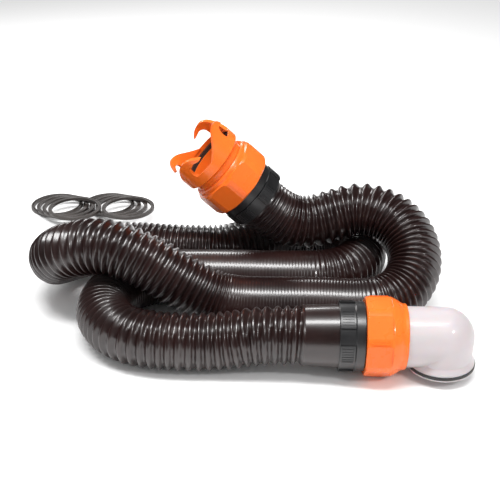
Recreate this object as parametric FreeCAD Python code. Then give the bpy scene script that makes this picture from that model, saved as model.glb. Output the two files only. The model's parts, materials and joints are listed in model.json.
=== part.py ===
import FreeCAD, Part

import math
import os

V3 = FreeCAD.Vector

# Sewer hose kit: a ribbed drain hose, folded as it is stored, with an orange swivel bayonet fitting on one
# end, an orange swivel lock collar and a clear elbow on the other, and eight spare bayonet gaskets.
# All lengths in mm, +Z up, floor at Z = 0, +Y away from the elbow's run.

# ---- layout ----
SHIFT = V3(61.04, -267.80, 0.0)     # moves the layout so that the base centre is the origin

# ---- hose ----
HOSE_R = 43.0                      # outer radius over the ribs
HOSE_WALL = 2.4
HOSE_ROUTE = [
    (12.0, 237.0, 153.1), (43.9, 239.6, 122.9), (88.0, 243.5, 112.5), (128.0, 250.5, 122.0),
    (174.4, 253.2, 136.3), (225.0, 235.5, 128.2), (256.9, 199.0, 103.7), (259.4, 153.9, 73.6),
    (231.8, 113.6, 50.0), (182.4, 88.4, 43.0), (100.0, 96.9, 43.0), (20.0, 96.7, 43.0),
    (-48.0, 97.0, 46.0), (-110.0, 100.0, 80.0), (-167.9, 103.8, 118.7), (-231.6, 116.1, 138.3),
    (-294.7, 138.4, 115.2), (-325.5, 185.8, 75.6), (-319.6, 239.7, 51.9), (-282.1, 284.2, 43.0),
    (-225.2, 299.7, 43.0), (-125.5, 283.1, 43.0), (-28.6, 284.6, 43.0), (56.3, 368.5, 43.0),
    (131.4, 368.3, 43.0), (184.6, 315.5, 43.0), (185.0, 240.5, 43.0), (132.5, 186.9, 43.0),
    (40.1, 185.7, 43.0), (-50.0, 190.8, 43.0), (-134.7, 190.9, 43.0), (-193.8, 173.4, 43.0),
    (-231.0, 121.0, 43.0), (-231.0, 56.0, 43.0), (-191.0, 6.0, 43.0), (-129.0, -10.5, 43.0),
    (-50.0, -12.0, 43.2), (14.0, -16.0, 58.5), (70.0, -17.5, 58.5),
]

# ---- black hose ends: a moulded cuff, and a collar with six raised pads ----
CUFF_A = 6.0                       # cuff that shows at the bayonet end
CUFF_B = 52.0                      # cuff that shows at the elbow end
CUFF_IN_R = 38.2
COLLAR_LEN = 37.0
COLLAR_R = 50.4
PAD_LEN = 22.0
PAD_R = 51.8
PAD_RIBS = (-9.6, -4.8, 0, 4.8, 9.6)   # finger ribs in each pad's pocket, in degrees from its middle
SPIGOT_R = 37.9
BORE_R = 34.5                      # bore right through both ends
NECK_R = 40.0                      # neck that the orange parts turn on
FLANGE_R = 45.0                    # flange that holds them
NECK_END = COLLAR_LEN + 21.0
GAP = 0.35                         # running gap of the turning parts

# ---- orange bayonet fitting ----
GRIP_R = 58.0
GRIP_FLATS = 111.0
GRIP_A_LEN = 49.0
GRIP_A_TURN = -17.0                # where the swivel grip's flats stand
HEAD_R = 54.0
HEAD_IN_R = 41.5                   # throat that the water leaves through
GRIP_THROAT_R = 44.0
SEAT_R = 51.4                      # recess that a gasket sits in
CLAW_IN_R = 49.0
CLAW_COUNT = 4
CLAW_TURN = 52.0                   # where the first claw stands

# ---- orange lock collar and clear elbow ----
GRIP_B_LEN = 60.0
ELBOW_R = 44.3
ELBOW_WALL = 3.2
ELBOW_REACH = 115.0                # lock collar's back face to the outlet's axis
ELBOW_DROP = 45.0                  # hose's axis to the outlet's rim
OUTLET_R = 48.6

# ---- gaskets ----
GASKET_R = 51.0
GASKET_IN_R = 44.3
GASKET_H = 5.6
GASKET_STEP = (15.5, -18.5, 5.95)  # each ring lies on the one before, a little nearer and to the right
FAN_START = [(-395.0, 560.0), (-291.2, 563.0)]
FAN_COUNT = 4


def tangent_path(points):
    """One wire of straight runs joined by tangent arcs, with the arcs' radii."""
    pts = [V3(*p) for p in points]
    edges, radii, cursor = [], [], pts[0]
    for before, corner, after in zip(pts, pts[1:], pts[2:]):
        a, b = corner - before, after - corner
        cut = 0.45 * min(a.Length, b.Length)
        turn = a.getAngle(b)
        radii.append(cut / math.tan(turn / 2))
        a.normalize()
        b.normalize()
        start, end = corner - a * cut, corner + b * cut
        inward = (b - a)
        inward.normalize()
        middle = corner + inward * (radii[-1] / math.cos(turn / 2) - radii[-1])
        edges.append(Part.LineSegment(cursor, start).toShape())
        edges.append(Part.Arc(start, middle, end).toShape())
        cursor = end
    edges.append(Part.LineSegment(cursor, pts[-1]).toShape())
    return Part.Wire(edges), radii


def tube_along(wire, radius, start, direction):
    circle = Part.Wire(Part.makeCircle(radius, start, direction))
    return wire.makePipeShell([circle], True, False)


def hose():
    wire, radii = tangent_path(HOSE_ROUTE)
    start = V3(*HOSE_ROUTE[0])
    way = V3(*HOSE_ROUTE[1]) - start
    outer = tube_along(wire, HOSE_R, start, way)
    inner = tube_along(wire, HOSE_R - HOSE_WALL, start, way)
    solid = outer.cut(inner)
    section = math.pi * (HOSE_R ** 2 - (HOSE_R - HOSE_WALL) ** 2)
    print("hose: length %.0f, volume / (section x length) %.4f" % (wire.Length,
                                                                   solid.Volume / section / wire.Length))
    print("arc radii:", " ".join("%.0f" % r for r in radii))
    return solid


def lathe(profile):
    """A solid turned about the local Z axis from (radius, height) points."""
    face = Part.Face(Part.makePolygon([V3(r, 0, z) for r, z in profile + profile[:1]]))
    return face.revolve(V3(0, 0, 0), V3(0, 0, 1), 360)


def ring(r_out, r_in, z0, z1):
    return Part.makeCylinder(r_out, z1 - z0, V3(0, 0, z0)).cut(
        Part.makeCylinder(r_in, z1 - z0 + 2, V3(0, 0, z0 - 1)))


def sector(r_out, r_in, z0, z1, mid_deg, width_deg):
    block = ring(r_out, r_in, z0, z1)
    far = 4 * r_out
    half = math.radians(width_deg / 2)
    corners = [V3(0, 0, z0 - 1), V3(far * math.cos(half), -far * math.sin(half), z0 - 1),
               V3(far * math.cos(half), far * math.sin(half), z0 - 1), V3(0, 0, z0 - 1)]
    wedge = Part.Face(Part.makePolygon(corners)).extrude(V3(0, 0, z1 - z0 + 2))
    wedge.rotate(V3(0, 0, 0), V3(0, 0, 1), mid_deg)
    return block.common(wedge)


def cuff(length):
    """The hose's smooth moulded end, from its first rib to inside the collar."""
    deep = length + COLLAR_LEN - 17.0
    wide = min(46.2, HOSE_R + 0.8 + 0.05 * length)
    return lathe([(CUFF_IN_R, 0), (HOSE_R + 0.6, 0), (HOSE_R + 1.4, 1.5), (HOSE_R + 0.8, 4), (wide, length),
                  (wide, deep), (CUFF_IN_R, deep)])


def collar(first_pad):
    """Locking collar with pads, the spigot inside the cuff, and the neck and flange that the swivel turns on."""
    body = lathe([(46.9, 0), (48.9, 0), (49.3, 0.8), (49.3, PAD_LEN), (COLLAR_R - 0.5, PAD_LEN + 1),
                  (COLLAR_R, PAD_LEN + 2), (COLLAR_R, COLLAR_LEN - 1), (COLLAR_R - 1, COLLAR_LEN),
                  (NECK_R, COLLAR_LEN), (NECK_R, NECK_END - 7), (FLANGE_R, NECK_END - 6),
                  (FLANGE_R, NECK_END - 4.3), (43.6, NECK_END - 4.3), (43.6, NECK_END - 1.3),
                  (FLANGE_R, NECK_END - 1.3), (FLANGE_R, NECK_END), (BORE_R, NECK_END), (BORE_R, -24),
                  (SPIGOT_R - 1.0, -24), (SPIGOT_R, -22), (SPIGOT_R, 20.5), (46.9, 20.5)])
    for k in range(6):
        mid = 60 * k + first_pad
        pad = sector(PAD_R, 48.9, 1.0, PAD_LEN, mid, 32)
        pad = pad.cut(sector(PAD_R + 1, PAD_R - 0.9, 3.2, PAD_LEN - 2.2, mid, 27))
        for turn in PAD_RIBS:
            pad = pad.fuse(sector(PAD_R - 0.2, PAD_R - 1.2, 3.0, PAD_LEN - 2.0, mid + turn, 1.5))
        body = body.fuse(pad)
    return body.removeSplitter()


def o_ring():
    """Swivel O-ring, in the flange's groove."""
    return Part.makeTorus(43.6 + 1.45, 1.4, V3(0, 0, NECK_END - 2.8), V3(0, 0, 1))


def octagon(flats, z0, z1):
    r = flats / 2 / math.cos(math.pi / 8)
    pts = [V3(r * math.cos(math.radians(22.5 + 45 * k)), r * math.sin(math.radians(22.5 + 45 * k)), z0)
           for k in range(9)]
    return Part.Face(Part.makePolygon(pts)).extrude(V3(0, 0, z1 - z0))


def faceted(profile, flats, z1):
    """A turned body with eight flats up to height z1."""
    body = lathe(profile)
    low = octagon(flats, -1, z1).fuse(Part.makeCylinder(200, 100, V3(0, 0, z1)))
    return body.common(low)


def swivel_cavity():
    """Profile points of the bore that runs on a collar's neck and flange; local Z = 0 at the collar's face."""
    neck = NECK_END - COLLAR_LEN
    return [(FLANGE_R + 2.0, neck + 2.5), (FLANGE_R + 2.0, neck - 6 - 2.0), (NECK_R + GAP, neck - 8 - 3.5)]


def bayonet_grip():
    """Octagonal swivel grip; local Z = 0 at its back face."""
    neck = NECK_END - COLLAR_LEN
    body = faceted([(NECK_R + GAP, GAP), (55.5, GAP), (GRIP_R, 3), (GRIP_R, 37), (56.2, 41), (52.6, 42.5),
                    (52.2, GRIP_A_LEN - 2), (50.5, GRIP_A_LEN), (GRIP_THROAT_R, GRIP_A_LEN),
                    (GRIP_THROAT_R, neck + 3)] + swivel_cavity(), GRIP_FLATS, 42.4)
    for k in range(4):
        body = body.fuse(sector(GRIP_R + 0.6, 54.0, 5.0, 34.0, 90 * k + 22.5, 4))
    body.rotate(V3(0, 0, 0), V3(0, 0, 1), GRIP_A_TURN)
    return body.removeSplitter()


def claw():
    """One bayonet claw: a back that ramps up from the rim, and an arm that hooks over beyond it."""
    z0 = 76.5
    outline = [(-33, z0), (-25, 83), (-15, 91.5), (-5, 100), (5, 105.5), (14, 107), (23, 105), (30, 100),
               (34, 93.5), (29.5, 94.5), (24.5, 96.5), (18.5, 96.5), (13.5, 93), (11.5, 87), (12, 81), (15, z0)]
    pts = [V3(0, y, z) for y, z in outline]
    curve = Part.BSplineCurve()
    curve.interpolate(pts)
    wire = Part.Wire([curve.toShape(), Part.LineSegment(pts[-1], pts[0]).toShape()])
    plate = Part.Face(wire).extrude(V3(80, 0, 0))
    return plate.common(ring(HEAD_R, CLAW_IN_R, z0 - 2, 125))


def bayonet_head():
    """Neck, gasket seat and rim with claws that hook over a waste outlet's lugs."""
    body = lathe([(HEAD_IN_R, GRIP_A_LEN + 0.2), (47.0, GRIP_A_LEN + 0.2), (47.0, 57), (48.2, 59), (53.2, 61.5),
                  (HEAD_R, 62.5), (HEAD_R, 77), (SEAT_R, 77), (SEAT_R, 65), (HEAD_IN_R, 65)])
    hook = claw()
    for k in range(CLAW_COUNT):
        turned = hook.copy()
        turned.rotate(V3(0, 0, 0), V3(0, 0, 1), CLAW_TURN + 360.0 / CLAW_COUNT * k)
        body = body.fuse(turned)
    return body.removeSplitter()


def gasket():
    """Bayonet gasket: a flat ridged face on top, and a grooved lip face below."""
    top = []
    width = GASKET_R - GASKET_IN_R
    for k in range(4):
        r = GASKET_R - 0.9 - k * (width - 1.2) / 4
        top += [(r, GASKET_H), (r - 0.5, GASKET_H), (r - 0.7, GASKET_H - 0.25), (r - 0.95, GASKET_H - 0.25)]
    return lathe([(GASKET_IN_R, 0.3), (GASKET_IN_R + 0.4, 0), (GASKET_IN_R + 1.5, 0), (GASKET_IN_R + 2.3, 2.6),
                  (GASKET_IN_R + 3.4, 2.6), (GASKET_IN_R + 4.1, 0), (GASKET_R - 0.5, 0), (GASKET_R, 0.5),
                  (GASKET_R, GASKET_H - 0.5)] + top + [(GASKET_IN_R, GASKET_H - 0.3)])


def lock_grip():
    """Octagonal lock collar that holds the elbow; local Z = 0 at its back face."""
    neck = NECK_END - COLLAR_LEN
    tube = ELBOW_R + GAP
    body = faceted([(NECK_R + GAP, GAP), (55.5, GAP), (GRIP_R, 2), (GRIP_R, 35), (57.2, 38.5), (54.6, 44),
                    (52.4, 48), (49.6, 52), (48.3, 55), (48.0, 59), (46.8, GRIP_B_LEN), (tube, GRIP_B_LEN),
                    (tube, 48), (49.2, 48), (49.2, 36), (BORE_R + 4, 36), (BORE_R + 4, neck + 3)]
                   + swivel_cavity(), GRIP_FLATS, 37.0)
    for k in range(48):
        body = body.cut(Part.makeCylinder(0.9, 4, V3(GRIP_R * math.cos(math.radians(7.5 * k)),
                                                     GRIP_R * math.sin(math.radians(7.5 * k)), -1)))
    for k in range(4):
        body = body.fuse(sector(GRIP_R + 1.3, 54.0, 6.0, 33.0, 90 * k + 68.5, 2.4))
    return body.removeSplitter()


def elbow_seal():
    """Gasket between the lock collar's shoulder and the elbow's end."""
    return ring(46.4, 38.9, 36.2, 40.0)


def elbow():
    """Clear 90 degree elbow; local Z along the hose's axis, outlet towards local -X."""
    bend = V3(0, 0, ELBOW_REACH)
    drop = ELBOW_DROP
    down = V3(-1, 0, 0)

    def limb(r, near, low):
        solid = Part.makeCylinder(r, ELBOW_REACH - near, V3(0, 0, near))
        solid = solid.fuse(Part.makeSphere(r, bend))
        return solid.fuse(Part.makeCylinder(r, low, bend, down))

    outer = limb(ELBOW_R, 40.3, drop)
    outer = outer.fuse(Part.makeCylinder(OUTLET_R + 0.6, 2.7, bend + down * (drop - 2.7), down))
    outer = outer.fuse(Part.makeCylinder(OUTLET_R + 0.4, 2.0, bend + down * (drop - 9.6), down))
    outer = outer.fuse(Part.makeCone(ELBOW_R, OUTLET_R + 0.4, 8.0, bend + down * (drop - 17.6), down))
    for k in range(4):
        outer = outer.fuse(sector(48.8, 42.5, 42.0, 47.6, 90 * k + 45, 30))
    inner = limb(ELBOW_R - ELBOW_WALL, 30.0, drop + 5)
    return outer.cut(inner).removeSplitter()


def outlet_seal():
    """Black seal round the elbow's outlet, between its two ribs, as far as the run to the hose on each side."""
    z0 = ELBOW_DROP - 7.6
    band = ring(OUTLET_R + 1.4, ELBOW_R + GAP, 0.1, 4.8)
    band.rotate(V3(0, 0, 0), V3(0, 1, 0), -90)
    band.translate(V3(-z0, 0, ELBOW_REACH))
    return band.cut(Part.makeCylinder(ELBOW_R + GAP, ELBOW_REACH))


def placed(shape, origin, way, down=V3(0, 0, -1)):
    """Local Z to the given way, and local -X as near as it goes to down."""
    z = V3(way)
    z.normalize()
    x = -down + z * down.dot(z)
    x.normalize()
    y = z.cross(x)
    m = FreeCAD.Matrix(x.x, y.x, z.x, origin.x, x.y, y.y, z.y, origin.y, x.z, y.z, z.z, origin.z, 0, 0, 0, 1)
    copy = shape.copy()
    copy.Placement = FreeCAD.Placement(m).multiply(copy.Placement)
    return copy


def save(shape, node):
    solid = shape.copy()
    solid.translate(SHIFT)
    if len(solid.Solids) == 1:
        solid = solid.Solids[0]
    box = solid.optimalBoundingBox(True, False)
    print("%-14s %2d solid %s vol %9.0f  X %7.1f %7.1f  Y %7.1f %7.1f  Z %6.1f %6.1f" % (
        node, len(shape.Solids), solid.isValid(), solid.Volume, box.XMin, box.XMax, box.YMin, box.YMax,
        box.ZMin, box.ZMax))
    solid.exportStep("parts/%s.step" % node)
    return box


def main():
    os.makedirs("parts", exist_ok=True)
    boxes = [save(hose(), "hose")]

    start_a, next_a = V3(*HOSE_ROUTE[0]), V3(*HOSE_ROUTE[1])
    way_a = start_a - next_a
    way_a.normalize()
    start_b, next_b = V3(*HOSE_ROUTE[-1]), V3(*HOSE_ROUTE[-2])
    way_b = start_b - next_b
    way_b.normalize()

    collar_at_a = start_a + way_a * CUFF_A
    face_a = collar_at_a + way_a * COLLAR_LEN
    collar_at_b = start_b + way_b * CUFF_B
    face_b = collar_at_b + way_b * COLLAR_LEN
    print("bayonet axis", tuple(round(c, 4) for c in way_a), "face", tuple(round(c, 2) for c in face_a))
    print("elbow axis", tuple(round(c, 4) for c in way_b), "face", tuple(round(c, 2) for c in face_b))

    ends = [("cuff_a", cuff(CUFF_A), start_a, way_a), ("cuff_b", cuff(CUFF_B), start_b, way_b),
            ("collar_a", collar(4.0), collar_at_a, way_a), ("collar_b", collar(30.0), collar_at_b, way_b),
            ("oring_a", o_ring(), collar_at_a, way_a), ("oring_b", o_ring(), collar_at_b, way_b),
            ("bayonet_grip", bayonet_grip(), face_a, way_a), ("bayonet_head", bayonet_head(), face_a, way_a),
            ("bayonet_seal", ring(SEAT_R - 0.2, GASKET_IN_R, 65.2, 70.6), face_a, way_a),
            ("lock_grip", lock_grip(), face_b, way_b), ("elbow_seal", elbow_seal(), face_b, way_b),
            ("elbow", elbow(), face_b, way_b), ("outlet_seal", outlet_seal(), face_b, way_b)]
    for node, shape, origin, way in ends:
        boxes.append(save(placed(shape, origin, way), node))

    number = 0
    for fan, (x, y) in enumerate(FAN_START):
        for k in range(FAN_COUNT):
            number += 1
            one = gasket()
            if k == 0:                          # the first of each fan lies with its lip face up
                one.rotate(V3(0, 0, GASKET_H / 2), V3(1, 0, 0), 180)
            one.translate(V3(x + k * GASKET_STEP[0], y + k * GASKET_STEP[1], k * GASKET_STEP[2]))
            boxes.append(save(one, "gasket_%d" % number))

    low = [min(getattr(b, c) for b in boxes) for c in ("XMin", "YMin", "ZMin")]
    high = [max(getattr(b, c) for b in boxes) for c in ("XMax", "YMax", "ZMax")]
    print("all: X %.2f %.2f  Y %.2f %.2f  Z %.2f %.2f" % (low[0], high[0], low[1], high[1], low[2], high[2]))
    print("base centre: %.2f %.2f" % ((low[0] + high[0]) / 2, (low[1] + high[1]) / 2))


main()
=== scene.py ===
import json
import math

import bpy
import numpy as np
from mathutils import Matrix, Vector


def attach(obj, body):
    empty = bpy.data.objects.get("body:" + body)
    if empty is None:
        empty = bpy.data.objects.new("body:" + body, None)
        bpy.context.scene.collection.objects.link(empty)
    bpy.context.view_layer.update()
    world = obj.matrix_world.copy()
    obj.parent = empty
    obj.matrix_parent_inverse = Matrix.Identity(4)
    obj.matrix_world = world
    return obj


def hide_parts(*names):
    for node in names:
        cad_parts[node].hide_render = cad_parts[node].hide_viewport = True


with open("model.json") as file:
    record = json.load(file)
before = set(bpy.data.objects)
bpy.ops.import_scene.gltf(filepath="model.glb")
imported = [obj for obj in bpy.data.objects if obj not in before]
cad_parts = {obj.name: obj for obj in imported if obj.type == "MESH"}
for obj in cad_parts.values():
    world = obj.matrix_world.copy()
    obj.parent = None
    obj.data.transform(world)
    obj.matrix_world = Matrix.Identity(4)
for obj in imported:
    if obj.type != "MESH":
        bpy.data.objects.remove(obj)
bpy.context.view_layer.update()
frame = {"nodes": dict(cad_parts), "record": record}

# The layout's own frame, in which the hose's route is given, against the part's frame (metres).
SHIFT = Vector((0.06104, -0.26780, 0.0))


# ---------------------------------------------------------------- camera
PITCH = math.radians(34.1)
CAMERA_DISTANCE = 1.350


def make_camera():
    data = bpy.data.cameras.new("camera")
    data.sensor_width = 36.0
    data.lens = 64.8
    data.shift_x = -0.007
    data.shift_y = 0.224
    cam = bpy.data.objects.new("camera", data)
    bpy.context.scene.collection.objects.link(cam)
    back = Vector((0.0, -math.cos(PITCH), math.sin(PITCH)))
    cam.location = SHIFT + back * CAMERA_DISTANCE
    cam.rotation_euler = (math.pi / 2 - PITCH, 0.0, 0.0)
    data.clip_start, data.clip_end = 0.01, 50.0
    bpy.context.scene.camera = cam


make_camera()


# ---------------------------------------------------------------- helpers
def new_mesh(name, verts, faces, smooth=True):
    mesh = bpy.data.meshes.new(name)
    mesh.from_pydata([tuple(v) for v in verts], [], [tuple(f) for f in faces])
    mesh.update()
    if smooth:
        mesh.polygons.foreach_set("use_smooth", [True] * len(mesh.polygons))
    obj = bpy.data.objects.new(name, mesh)
    bpy.context.scene.collection.objects.link(obj)
    return obj


def grid_mesh(name, verts, rings, around):
    """A closed tube of rings by around vertices, as quads, built with arrays."""
    i = np.arange(rings - 1)[:, None] * around
    j = np.arange(around)[None, :]
    a, b = i + j, i + (j + 1) % around
    quads = np.stack([a, b, b + around, a + around], axis=-1).reshape(-1, 4)
    mesh = bpy.data.meshes.new(name)
    mesh.vertices.add(len(verts))
    mesh.vertices.foreach_set("co", np.asarray(verts, np.float32).ravel())
    mesh.loops.add(quads.size)
    mesh.loops.foreach_set("vertex_index", quads.ravel().astype(np.int32))
    mesh.polygons.add(len(quads))
    mesh.polygons.foreach_set("loop_start", np.arange(0, quads.size, 4, dtype=np.int32))
    mesh.polygons.foreach_set("loop_total", np.full(len(quads), 4, np.int32))
    mesh.polygons.foreach_set("use_smooth", np.ones(len(quads), bool))
    mesh.update(calc_edges=True)
    obj = bpy.data.objects.new(name, mesh)
    bpy.context.scene.collection.objects.link(obj)
    return obj


# ---------------------------------------------------------------- hose
HOSE_ROUTE = [
    (0.0120, 0.2370, 0.1531), (0.0439, 0.2396, 0.1229), (0.0880, 0.2435, 0.1125), (0.1280, 0.2505, 0.1220),
    (0.1744, 0.2532, 0.1363), (0.2250, 0.2355, 0.1282), (0.2569, 0.1990, 0.1037), (0.2594, 0.1539, 0.0736),
    (0.2318, 0.1136, 0.0500), (0.1824, 0.0884, 0.0430), (0.1000, 0.0969, 0.0430), (0.0200, 0.0967, 0.0430),
    (-0.0480, 0.0970, 0.0460), (-0.1100, 0.1000, 0.0800), (-0.1679, 0.1038, 0.1187), (-0.2316, 0.1161, 0.1383),
    (-0.2947, 0.1384, 0.1152), (-0.3255, 0.1858, 0.0756), (-0.3196, 0.2397, 0.0519), (-0.2821, 0.2842, 0.0430),
    (-0.2252, 0.2997, 0.0430), (-0.1255, 0.2831, 0.0430), (-0.0286, 0.2846, 0.0430), (0.0563, 0.3685, 0.0430),
    (0.1314, 0.3683, 0.0430), (0.1846, 0.3155, 0.0430), (0.1850, 0.2405, 0.0430), (0.1325, 0.1869, 0.0430),
    (0.0401, 0.1857, 0.0430), (-0.0500, 0.1908, 0.0430), (-0.1347, 0.1909, 0.0430), (-0.1938, 0.1734, 0.0430),
    (-0.2310, 0.1210, 0.0430), (-0.2310, 0.0560, 0.0430), (-0.1910, 0.0060, 0.0430), (-0.1290, -0.0105, 0.0430),
    (-0.0500, -0.0120, 0.0432), (0.0140, -0.0160, 0.0585), (0.0700, -0.0175, 0.0585),
]
HOSE_RADIUS = 0.0430
AROUND = 96
STEPS_PER_RIB = 10
LINE_SAMPLES = 6001
RIB_LEAST = 0.00028        # depth of the ribs where the hose is pushed together, in metres
RIB_DEPTH = 0.0047         # and what is added to it where the hose is drawn out
FIN_DEPTH = 0.0014         # and round a tight bend
WRINKLE = 0.00028


def route_points():
    """The points of one smooth spline through the route, read from a curve with no bevel."""
    curve = bpy.data.curves.new("hose_line", "CURVE")
    curve.dimensions = "3D"
    curve.resolution_u = 24
    spline = curve.splines.new("NURBS")
    spline.points.add(len(HOSE_ROUTE) - 1)
    for point, place in zip(spline.points, HOSE_ROUTE):
        point.co = (*(Vector(place) + SHIFT), 1.0)
    spline.order_u = 3
    spline.use_endpoint_u = True
    obj = bpy.data.objects.new("hose_line", curve)
    bpy.context.scene.collection.objects.link(obj)
    bpy.context.view_layer.update()
    mesh = bpy.data.meshes.new_from_object(obj)
    points = np.array([v.co for v in mesh.vertices])
    bpy.data.objects.remove(obj)
    bpy.data.meshes.remove(mesh)
    return points


def along(points):
    return np.concatenate([[0.0], np.cumsum(np.linalg.norm(np.diff(points, axis=0), axis=1))])


def at(points, s, q):
    return np.stack([np.interp(q, s, points[:, k]) for k in range(3)], 1)


def smooth_step(x, low, high):
    t = np.clip((x - low) / (high - low), 0.0, 1.0)
    return t * t * (3 - 2 * t)


# Where the folded hose is drawn out, and where it is pushed together: (share of its length, rib pitch in metres).
RIB_PITCH = [(0.0, 0.0080), (0.022, 0.0085), (0.036, 0.0135), (0.045, 0.0152), (0.078, 0.0148), (0.092, 0.0108),
             (0.15, 0.0100), (0.165, 0.0085), (0.18, 0.0050), (0.255, 0.0048), (0.266, 0.0080), (0.285, 0.0112),
             (0.33, 0.0122), (0.41, 0.0118), (0.45, 0.0105), (0.58, 0.0105), (0.62, 0.0098), (0.69, 0.0102),
             (0.706, 0.0070), (0.715, 0.0050), (0.785, 0.0048), (0.80, 0.0068), (0.825, 0.0092), (0.88, 0.0098),
             (0.915, 0.0125), (0.935, 0.0138), (1.0, 0.0138)]


def hose_frames(points):
    """Even samples along the line: places, tangents and two steady cross directions."""
    s = along(points)
    q = np.linspace(0.0, s[-1], LINE_SAMPLES)
    place = at(points, s, q)
    for _ in range(6):                       # takes the short facets out of the sampled line
        place[1:-1] = 0.25 * place[:-2] + 0.5 * place[1:-1] + 0.25 * place[2:]
    tangent = np.gradient(place, axis=0)
    tangent /= np.linalg.norm(tangent, axis=1)[:, None]
    side = np.zeros_like(place)
    first = np.cross(tangent[0], (0.0, 0.0, 1.0))
    side[0] = first / np.linalg.norm(first)
    for i in range(1, len(q)):
        v = side[i - 1] - tangent[i] * np.dot(side[i - 1], tangent[i])
        side[i] = v / np.linalg.norm(v)
    return q, place, tangent, side, np.cross(tangent, side)


def make_hose():
    q, place, tangent, side, up = hose_frames(route_points())
    length = q[-1]
    share, pitches = zip(*RIB_PITCH)
    uneven = 1 + 0.05 * np.sin(q * 61.0) + 0.04 * np.sin(q * 143.0 + 1.0)
    pitch = np.interp(q / length, share, pitches) * uneven
    phase = np.concatenate([[0.0], np.cumsum(np.diff(q) / (0.5 * (pitch[1:] + pitch[:-1])))])
    count = int(phase[-1] * STEPS_PER_RIB)
    turns = np.linspace(0.0, phase[-1], count)
    pos = np.interp(turns, phase, q)
    local_pitch = np.interp(pos / length, share, pitches)

    def pick(a):
        return np.stack([np.interp(pos, q, a[:, k]) for k in range(3)], 1)

    centre, cross_a, cross_b = pick(place), pick(side), pick(up)
    theta = np.linspace(0.0, 2 * math.pi, AROUND, endpoint=False)
    wave = turns[:, None] + theta[None, :] / (2 * math.pi)
    hump = 0.5 + 0.5 * np.cos(2 * math.pi * wave)
    turn = np.linalg.norm(np.gradient(tangent, q, axis=0), axis=1)
    bend = np.interp(pos, q, np.convolve(turn, np.ones(61) / 61, mode="same"))
    fins = smooth_step(bend, 3.0, 10.0)[:, None]          # ribs stand out thin and deep round a bend
    open_share = smooth_step(local_pitch, 0.0058, 0.0100)[:, None]
    depth = RIB_LEAST + open_share * (RIB_DEPTH + FIN_DEPTH * fins)
    wrinkle = np.sin(7 * theta + 2.3 * wave) * np.sin(4 * theta - 3.9 * wave) + 0.6 * np.sin(13 * theta + 5.1 * wave)
    radius = (HOSE_RADIUS + 0.0002 - depth * (1.0 - hump ** (0.8 + 0.35 * fins))
              - open_share * WRINKLE * (1.6 + wrinkle) * (1.3 - hump))
    edge = np.minimum(pos, length - pos)[:, None]
    radius = radius - 0.0004 * (1 - smooth_step(edge, 0.0, 0.004))
    verts = (centre[:, None, :] + radius[:, :, None] * (np.cos(theta)[None, :, None] * cross_a[:, None, :]
                                                        + np.sin(theta)[None, :, None] * cross_b[:, None, :]))
    obj = grid_mesh("hose_ribbed", verts.reshape(-1, 3), count, AROUND)
    return obj, centre, length


hose, hose_centre, hose_length = make_hose()


# ---------------------------------------------------------------- materials
def link(tree, a, b):
    tree.links.new(a, b)


def noise(tree, scale, detail, coords):
    node = tree.nodes.new("ShaderNodeTexNoise")
    node.inputs["Scale"].default_value = scale
    node.inputs["Detail"].default_value = detail
    link(tree, coords, node.inputs["Vector"])
    return node.outputs["Fac"]


def ramp(tree, fac, low, high, start=0.3, end=0.7):
    node = tree.nodes.new("ShaderNodeValToRGB")
    node.color_ramp.elements[0].position = start
    node.color_ramp.elements[1].position = end
    node.color_ramp.elements[0].color = (*low, 1.0)
    node.color_ramp.elements[1].color = (*high, 1.0)
    link(tree, fac, node.inputs["Fac"])
    return node.outputs["Color"]


def spread(tree, fac, low, high):
    node = tree.nodes.new("ShaderNodeMapRange")
    node.inputs["To Min"].default_value = low
    node.inputs["To Max"].default_value = high
    link(tree, fac, node.inputs["Value"])
    return node.outputs["Result"]


def material(name, low, high, rough, scale, bump=0.05, fine=900.0, settings=()):
    """A plastic or rubber with uneven colour and gloss and a fine moulded grain."""
    mat = bpy.data.materials.new(name)
    mat.use_nodes = True
    tree = mat.node_tree
    shader = tree.nodes["Principled BSDF"]
    coords = tree.nodes.new("ShaderNodeTexCoord").outputs["Object"]
    broad = noise(tree, scale, 4.0, coords)
    link(tree, ramp(tree, broad, low, high), shader.inputs["Base Color"])
    link(tree, spread(tree, noise(tree, scale * 3, 3.0, coords), *rough), shader.inputs["Roughness"])
    grain = tree.nodes.new("ShaderNodeBump")
    grain.inputs["Strength"].default_value = bump
    grain.inputs["Distance"].default_value = 0.0004
    link(tree, noise(tree, fine, 3.0, coords), grain.inputs["Height"])
    link(tree, grain.outputs["Normal"], shader.inputs["Normal"])
    for key, value in settings:
        shader.inputs[key].default_value = value
    return mat


VINYL = material("hose_vinyl", (0.0095, 0.0030, 0.0027), (0.0230, 0.0085, 0.0074), (0.25, 0.37), 14.0, 0.08, 700.0,
                 [("Coat Weight", 0.35), ("Coat Roughness", 0.10), ("Specular IOR Level", 0.75)])
BLACK = material("black_plastic", (0.008, 0.008, 0.009), (0.018, 0.018, 0.019), (0.28, 0.40), 20.0, 0.06, 900.0,
                 [("Specular IOR Level", 0.8)])
RUBBER = material("seal_rubber", (0.010, 0.010, 0.010), (0.022, 0.021, 0.020), (0.45, 0.6), 25.0, 0.1)
ORANGE = material("orange_plastic", (0.80, 0.130, 0.013), (0.88, 0.172, 0.020), (0.22, 0.34), 9.0, 0.04, 600.0,
                  [("Subsurface Weight", 0.15), ("Subsurface Scale", 0.006), ("Coat Weight", 0.2),
                   ("Coat Roughness", 0.10), ("Specular IOR Level", 0.3)])
GASKET = material("gasket_rubber", (0.020, 0.0145, 0.0125), (0.040, 0.0300, 0.0262), (0.36, 0.48), 30.0, 0.12, 900.0,
                  [("Specular IOR Level", 0.65)])
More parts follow.
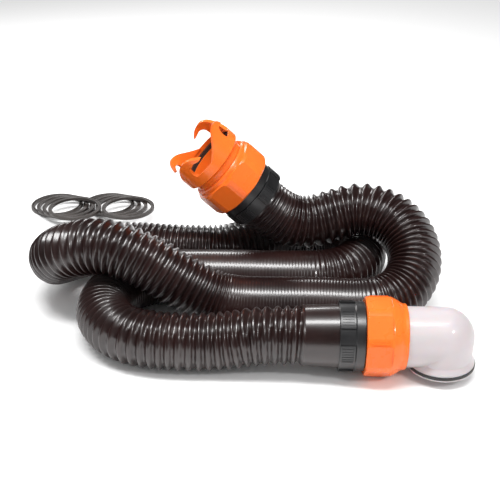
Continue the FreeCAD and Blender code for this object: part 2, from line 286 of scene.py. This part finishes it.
CLEAR = material("clear_plastic", (0.63, 0.565, 0.58), (0.72, 0.655, 0.67), (0.32, 0.42), 8.0, 0.006, 300.0,
                 [("Transmission Weight", 0.30), ("IOR", 1.45), ("Subsurface Weight", 0.25),
                  ("Subsurface Scale", 0.01), ("Coat Weight", 0.20), ("Coat Roughness", 0.04)])

SLOT_MATERIAL = {"hose_vinyl": VINYL, "black_plastic": BLACK, "seal_rubber": RUBBER,
                 "orange_plastic": ORANGE, "clear_plastic": CLEAR, "gasket_rubber": GASKET}
SLOTS = {s["node"]: s["material_slot"] for s in frame["record"]["subparts"]}


def paint(obj, mat):
    obj.data.materials.clear()
    obj.data.materials.append(mat)


for node_name, node in frame["nodes"].items():
    paint(node, SLOT_MATERIAL[SLOTS[node_name]])

paint(hose, VINYL)
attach(hose, "hose_body")
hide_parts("hose")


# ---------------------------------------------------------------- floor and light
def make_floor():
    obj = new_mesh("floor", [(-6, -6, 0), (6, -6, 0), (6, 9, 0), (-6, 9, 0)], [(0, 1, 2, 3)], smooth=False)
    mat = bpy.data.materials.new("floor")
    mat.use_nodes = True
    shader = mat.node_tree.nodes["Principled BSDF"]
    shader.inputs["Base Color"].default_value = (0.90, 0.90, 0.90, 1.0)
    shader.inputs["Roughness"].default_value = 0.75
    paint(obj, mat)
    obj.location.z = -0.0002


def soft_light(name, place, aim, size, power):
    data = bpy.data.lights.new(name, "AREA")
    data.shape = "RECTANGLE"
    data.size, data.size_y = size
    data.energy = power
    obj = bpy.data.objects.new(name, data)
    obj.location = place
    obj.rotation_euler = (Vector(aim) - Vector(place)).to_track_quat("-Z", "Y").to_euler()
    bpy.context.scene.collection.objects.link(obj)


def make_light():
    """An even white tent for matt surfaces, darker where glossy ones mirror it, and three soft boxes."""
    world = bpy.data.worlds.new("studio")
    bpy.context.scene.world = world
    world.use_nodes = True
    tree = world.node_tree
    even = tree.nodes["Background"]
    even.inputs["Color"].default_value = (1.0, 1.0, 1.0, 1.0)
    even.inputs["Strength"].default_value = 0.69
    dim = tree.nodes.new("ShaderNodeBackground")
    dim.inputs["Strength"].default_value = 0.07
    mix = tree.nodes.new("ShaderNodeMixShader")
    path = tree.nodes.new("ShaderNodeLightPath")
    link(tree, path.outputs["Is Glossy Ray"], mix.inputs["Fac"])
    link(tree, even.outputs["Background"], mix.inputs[1])
    link(tree, dim.outputs["Background"], mix.inputs[2])
    link(tree, mix.outputs["Shader"], tree.nodes["World Output"].inputs["Surface"])
    soft_light("key", (-0.1, -0.45, 1.75), (0.0, 0.0, 0.05), (1.5, 0.36), 34.0)
    soft_light("front", (1.1, -1.2, 1.25), (0.1, -0.1, 0.05), (0.18, 0.18), 8.0)
    soft_light("back", (-0.4, 1.5, 1.1), (0.0, 0.1, 0.05), (1.4, 0.30), 15.0)
    bpy.context.scene.view_settings.view_transform = "Standard"


make_floor()
make_light()
